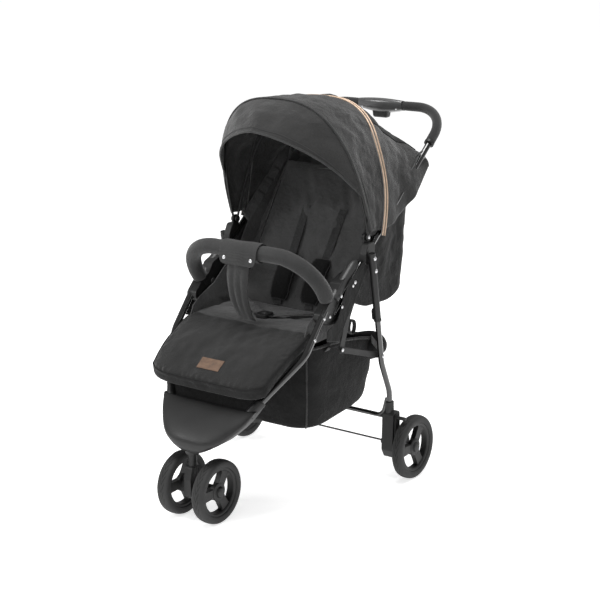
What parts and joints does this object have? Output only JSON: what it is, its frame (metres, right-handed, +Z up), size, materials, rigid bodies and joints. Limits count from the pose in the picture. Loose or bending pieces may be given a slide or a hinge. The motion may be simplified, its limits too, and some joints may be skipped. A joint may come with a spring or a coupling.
{
  "type": "three-wheel stroller",
  "caption": "Folding three-wheel stroller with swivel twin front wheels, bumper bar, hooded seat with harness, leg rest and basket.",
  "frame": {"origin": "on the floor under the middle of the overall width and length", "axes": "+Z up, +X towards the child's left, -Y towards the front wheels"},
  "size_m": [0.626, 0.9571, 1.064],
  "materials": {
    "frame_paint": "gloss black powder coat on tube",
    "moulding": "fine textured black moulding",
    "button_moulding": "satin dark grey",
    "tyre": "matte black foam tyre",
    "grip_foam": "matte black soft foam",
    "melange_cloth": "charcoal melange weave",
    "black_cloth": "black woven cloth",
    "pin_steel": "plain steel",
    "label_leather": "bare tan patch"
  },
  "bodies": {
    "main_frame": {"handle_tube": "frame_paint", "nose_shell": "moulding", "front_tube_l": "frame_paint", "front_tube_r": "frame_paint", "hub_l": "moulding", "hub_r": "moulding", "grip_l": "grip_foam", "grip_r": "grip_foam", "hood_clip_l": "moulding", "hood_clip_r": "moulding", "console": "moulding", "seat_cushion": "black_cloth", "seat_side_l": "black_cloth", "seat_side_r": "black_cloth", "basket": "black_cloth", "back_skirt": "black_cloth", "canopy_rear": "melange_cloth", "buckle": "moulding"},
    "rear_frame": {"rear_leg_l": "frame_paint", "rear_leg_r": "frame_paint", "wheel_bracket_l": "moulding", "wheel_bracket_r": "moulding", "cross_tube": "frame_paint"},
    "seat_bars": {"seat_bar_l": "frame_paint", "seat_bar_r": "frame_paint"},
    "link_bars": {"link_bar_l": "frame_paint", "link_bar_r": "frame_paint"},
    "brake": {"brake_rod": "frame_paint", "brake_pedal_l": "moulding", "brake_pedal_r": "moulding"},
    "rear_wheel_l": {"tyre_rear_l": "tyre", "rim_rear_l": "moulding"},
    "rear_wheel_r": {"tyre_rear_r": "tyre", "rim_rear_r": "moulding"},
    "caster": {"caster_fork": "moulding", "front_axle": "pin_steel"},
    "front_wheel_l": {"tyre_front_l": "tyre", "rim_front_l": "moulding"},
    "front_wheel_r": {"tyre_front_r": "tyre", "rim_front_r": "moulding"},
    "leg_rest": {"leg_rest": "melange_cloth", "leg_label": "label_leather"},
    "bumper": {"bumper_core": "moulding", "bumper_foam": "grip_foam", "bumper_cover": "melange_cloth"},
    "bumper_button_l": {"bumper_button_l": "button_moulding"},
    "bumper_button_r": {"bumper_button_r": "button_moulding"},
    "fold_trigger": {"fold_trigger": "button_moulding"},
    "backrest": {"backrest": "black_cloth", "harness_pad_l": "black_cloth", "harness_pad_r": "black_cloth"},
    "buckle_button": {"buckle_button": "button_moulding"},
    "front_bow": {"front_bow": "moulding", "canopy_front": "melange_cloth", "visor": "melange_cloth"},
    "mid_bow": {"mid_bow": "moulding"}
  },
  "joints": [
    {"name": "frame_fold", "type": "hinge", "parent": "main_frame", "child": "rear_frame", "pos_m": [0, 0.0313, 0.649], "axis": [-1, 0, 0], "range_deg": [0, 50], "deforming": ["basket"]},
    {"name": "seat_bar_fold", "type": "hinge", "parent": "main_frame", "child": "seat_bars", "pos_m": [0, -0.0282, 0.5938], "axis": [-1, 0, 0], "range_deg": [0, 71.8]},
    {"name": "link_bar_fold", "type": "hinge", "parent": "seat_bars", "child": "link_bars", "pos_m": [0, -0.0895, 0.424], "axis": [-1, 0, 0], "range_deg": [-21.8, 0]},
    {"name": "rear_wheel_l_spin", "type": "hinge", "parent": "rear_frame", "child": "rear_wheel_l", "pos_m": [0.296, 0.1805, 0.09], "axis": [1, 0, 0], "continuous": true},
    {"name": "rear_wheel_r_spin", "type": "hinge", "parent": "rear_frame", "child": "rear_wheel_r", "pos_m": [-0.296, 0.1805, 0.09], "axis": [1, 0, 0], "continuous": true},
    {"name": "brake_press", "type": "hinge", "parent": "rear_frame", "child": "brake", "pos_m": [0, 0.1285, 0.11], "axis": [-1, 0, 0], "range_deg": [0, 14]},
    {"name": "caster_swivel", "type": "hinge", "parent": "main_frame", "child": "caster", "pos_m": [0, -0.4175, 0.17], "axis": [0, 0, 1], "continuous": true},
    {"name": "front_wheel_l_spin", "type": "hinge", "parent": "caster", "child": "front_wheel_l", "pos_m": [0.058, -0.3935, 0.085], "axis": [1, 0, 0], "continuous": true},
    {"name": "front_wheel_r_spin", "type": "hinge", "parent": "caster", "child": "front_wheel_r", "pos_m": [-0.058, -0.3935, 0.085], "axis": [1, 0, 0], "continuous": true},
    {"name": "leg_rest_tilt", "type": "hinge", "parent": "main_frame", "child": "leg_rest", "pos_m": [0, -0.1676, 0.4675], "axis": [-1, 0, 0], "range_deg": [0, 30]},
    {"name": "backrest_recline", "type": "hinge", "parent": "main_frame", "child": "backrest", "pos_m": [0, 0.019, 0.46], "axis": [-1, 0, 0], "range_deg": [0, 25], "deforming": ["back_skirt"]},
    {"name": "bumper_lift", "type": "slide", "parent": "main_frame", "child": "bumper", "axis": [0, -0.5476, 0.8368], "range_m": [0, 0.05]},
    {"name": "bumper_button_l_press", "type": "slide", "parent": "main_frame", "child": "bumper_button_l", "axis": [1, 0, 0], "range_m": [0, 0.002], "stiffness_N_per_m": 300, "springref_m": -0.004},
    {"name": "bumper_button_r_press", "type": "slide", "parent": "main_frame", "child": "bumper_button_r", "axis": [-1, 0, 0], "range_m": [0, 0.002], "stiffness_N_per_m": 300, "springref_m": -0.004},
    {"name": "fold_trigger_squeeze", "type": "slide", "parent": "main_frame", "child": "fold_trigger", "axis": [0, 0, 1], "range_m": [0, 0.0045], "stiffness_N_per_m": 400, "springref_m": -0.004},
    {"name": "buckle_button_press", "type": "slide", "parent": "main_frame", "child": "buckle_button", "axis": [0, 0, -1], "range_m": [0, 0.0015], "stiffness_N_per_m": 300, "springref_m": -0.004},
    {"name": "canopy_fold", "type": "hinge", "parent": "main_frame", "child": "front_bow", "pos_m": [0, 0.0455, 0.7], "axis": [-1, 0, 0], "range_deg": [0, 55], "deforming": ["canopy_front"]},
    {"name": "mid_bow_fold", "type": "hinge", "parent": "main_frame", "child": "mid_bow", "pos_m": [0, 0.0455, 0.7], "axis": [-1, 0, 0], "range_deg": [0, 27.5], "deforming": ["canopy_rear"]}
  ],
  "couplings": [
    {"joint": "seat_bar_fold", "follows": "frame_fold", "ratio": 1.436},
    {"joint": "link_bar_fold", "follows": "frame_fold", "ratio": -0.436},
    {"joint": "mid_bow_fold", "follows": "canopy_fold", "ratio": 0.5}
  ]
}
